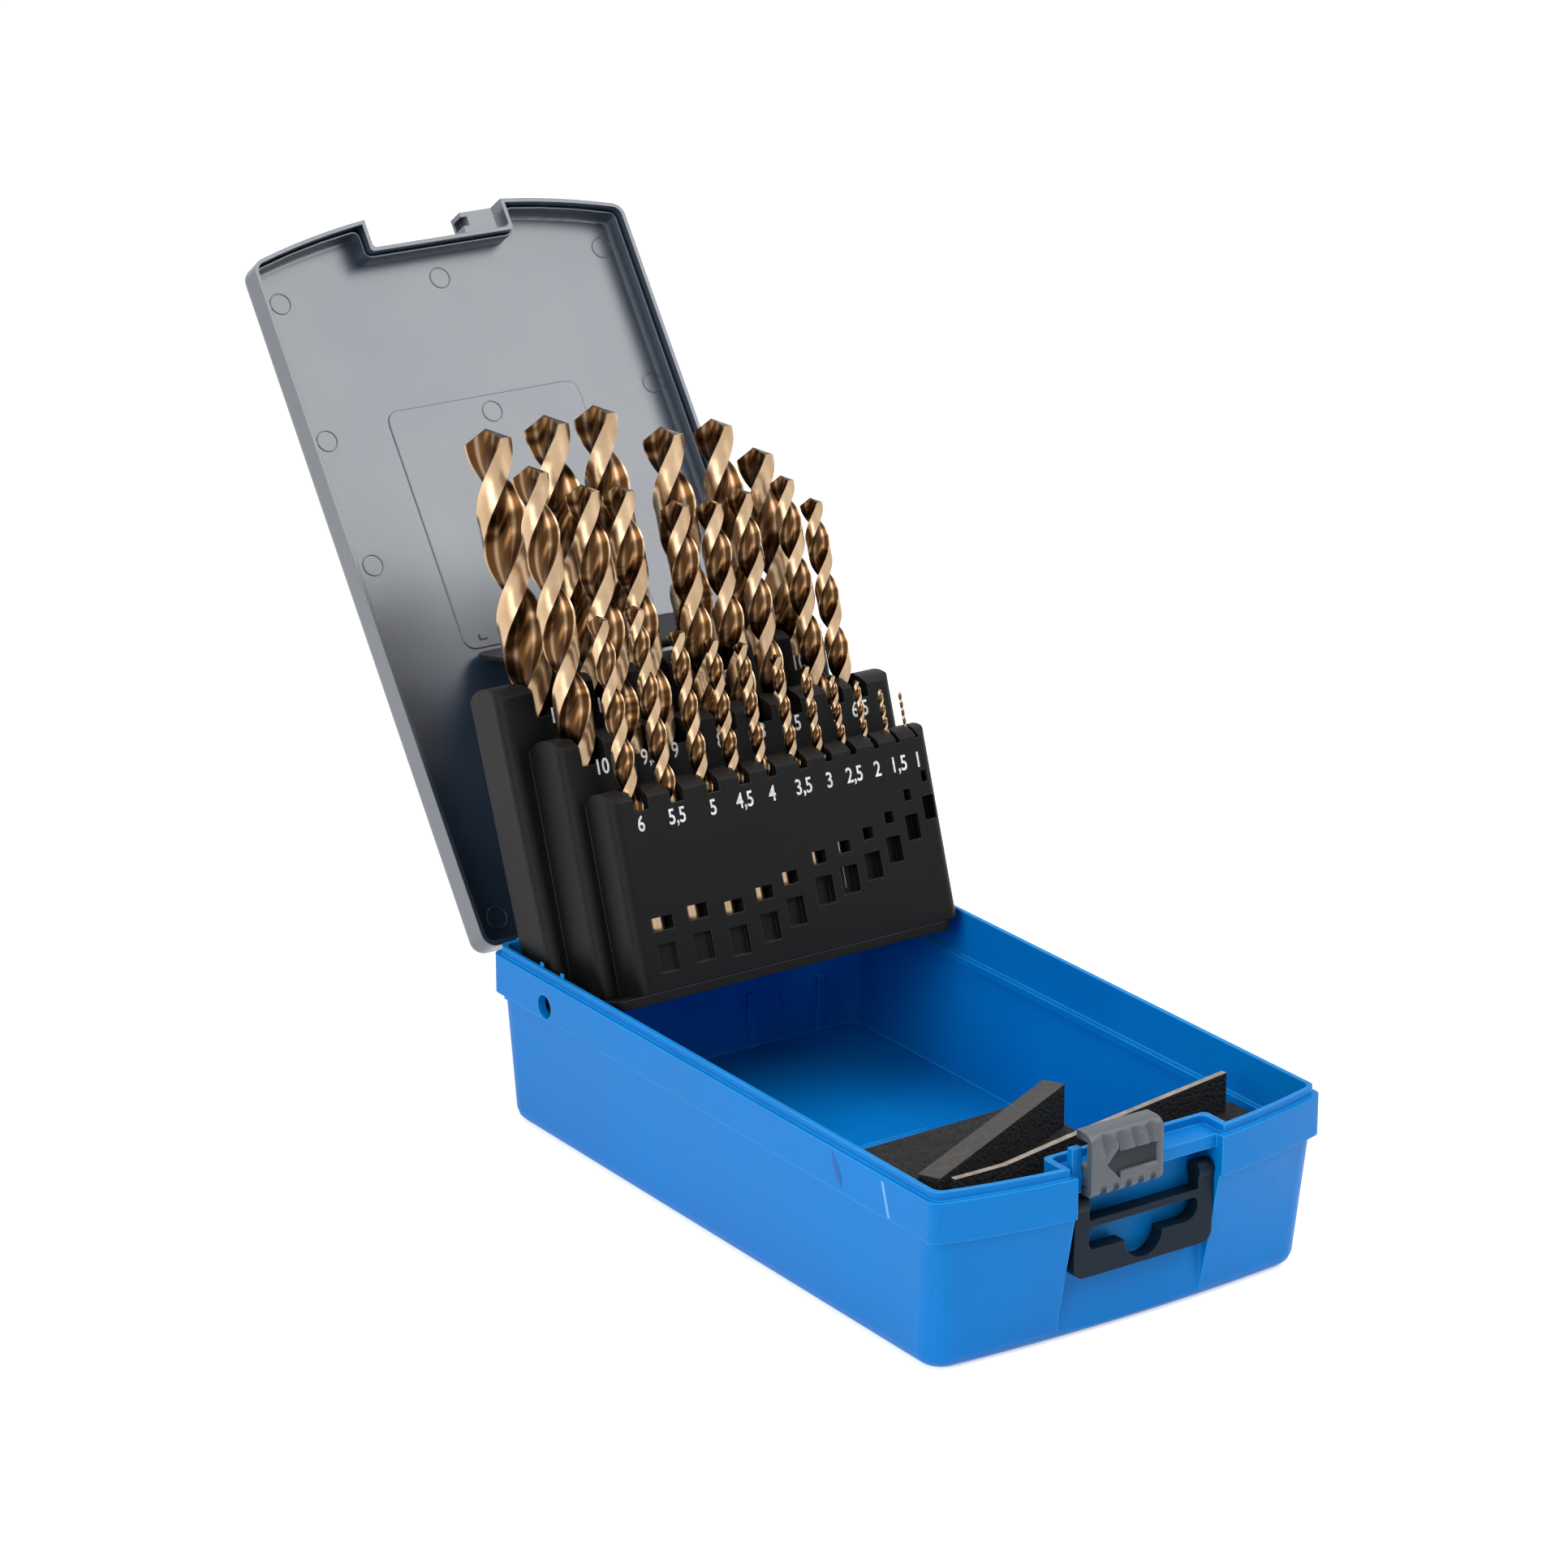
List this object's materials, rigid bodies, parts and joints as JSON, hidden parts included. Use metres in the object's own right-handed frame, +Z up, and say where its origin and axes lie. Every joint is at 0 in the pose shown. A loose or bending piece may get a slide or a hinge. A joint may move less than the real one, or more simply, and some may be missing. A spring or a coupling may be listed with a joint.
{
  "type": "drill bit case",
  "caption": "Hinged drill bit case whose lid lifts a stepped holder of twist drills out of the tray, with a sliding front latch and a swinging handle.",
  "frame": {"origin": "centre of the tray's underside", "axes": "+Z up, -Y towards the latch and handle, +X to the right seen from the front"},
  "size_m": [0.1198, 0.3376, 0.2162],
  "materials": {
    "blue_plastic": "fine satin",
    "slate_plastic": "fine satin",
    "grey_plastic": "satin",
    "charcoal_plastic": "satin",
    "black_plastic": "satin",
    "black_foam": "grained",
    "steel_pin": "bright",
    "drill_bronze": "bronze tempered"
  },
  "bodies": {
    "base": {"base_box": "blue_plastic", "hinge_pin_left": "steel_pin", "hinge_pin_right": "steel_pin", "front_insert": "black_foam", "insert_fin_thick": "black_foam", "insert_fin_thin": "black_foam"},
    "lid": {"lid": "slate_plastic"},
    "pin_carriage": {"pivot_pin_left": "charcoal_plastic", "pivot_pin_right": "charcoal_plastic"},
    "holder": {"drill_holder": "charcoal_plastic", "holder_foot": "charcoal_plastic", "lift_flap_pin": "steel_pin", "drill_10_0": "drill_bronze", "drill_10_5": "drill_bronze", "drill_11_0": "drill_bronze", "drill_11_5": "drill_bronze", "drill_12_0": "drill_bronze", "drill_12_5": "drill_bronze", "drill_13_0": "drill_bronze", "drill_1_0": "drill_bronze", "drill_1_5": "drill_bronze", "drill_2_0": "drill_bronze", "drill_2_5": "drill_bronze", "drill_3_0": "drill_bronze", "drill_3_5": "drill_bronze", "drill_4_0": "drill_bronze", "drill_4_5": "drill_bronze", "drill_5_0": "drill_bronze", "drill_5_5": "drill_bronze", "drill_6_0": "drill_bronze", "drill_6_5": "drill_bronze", "drill_7_0": "drill_bronze", "drill_7_5": "drill_bronze", "drill_8_0": "drill_bronze", "drill_8_5": "drill_bronze", "drill_9_0": "drill_bronze", "drill_9_5": "drill_bronze"},
    "flap": {"lift_flap": "black_plastic"},
    "slider": {"latch_slider": "grey_plastic"},
    "handle": {"carry_handle": "slate_plastic"}
  },
  "joints": [
    {"name": "lid_hinge", "type": "hinge", "parent": "base", "child": "lid", "pos_m": [0, 0.10137, 0.0463], "axis": [1, 0, 0], "range_deg": [0, 125.3]},
    {"name": "pin_slide", "type": "slide", "parent": "base", "child": "pin_carriage", "axis": [0, 1, 0], "range_m": [0, 0.0189]},
    {"name": "holder_tilt", "type": "hinge", "parent": "pin_carriage", "child": "holder", "pos_m": [0, 0.0738, 0.0397], "axis": [1, 0, 0], "range_deg": [0, 108.3]},
    {"name": "flap_fold", "type": "hinge", "parent": "holder", "child": "flap", "pos_m": [0, 0.11383, 0.11729], "axis": [1, 0, 0], "range_deg": [0, 83.2]},
    {"name": "latch_slide", "type": "slide", "parent": "base", "child": "slider", "axis": [1, 0, 0], "range_m": [0, 0.0165]},
    {"name": "handle_swing", "type": "hinge", "parent": "base", "child": "handle", "pos_m": [0, -0.1021, 0.0375], "axis": [-1, 0, 0], "range_deg": [0, 90]}
  ],
  "couplings": [
    {"joint": "pin_slide", "follows": "lid_hinge", "m_per_rad": 0.008597},
    {"joint": "holder_tilt", "follows": "lid_hinge", "ratio": 0.86297},
    {"joint": "flap_fold", "follows": "lid_hinge", "ratio": 0.66241}
  ]
}
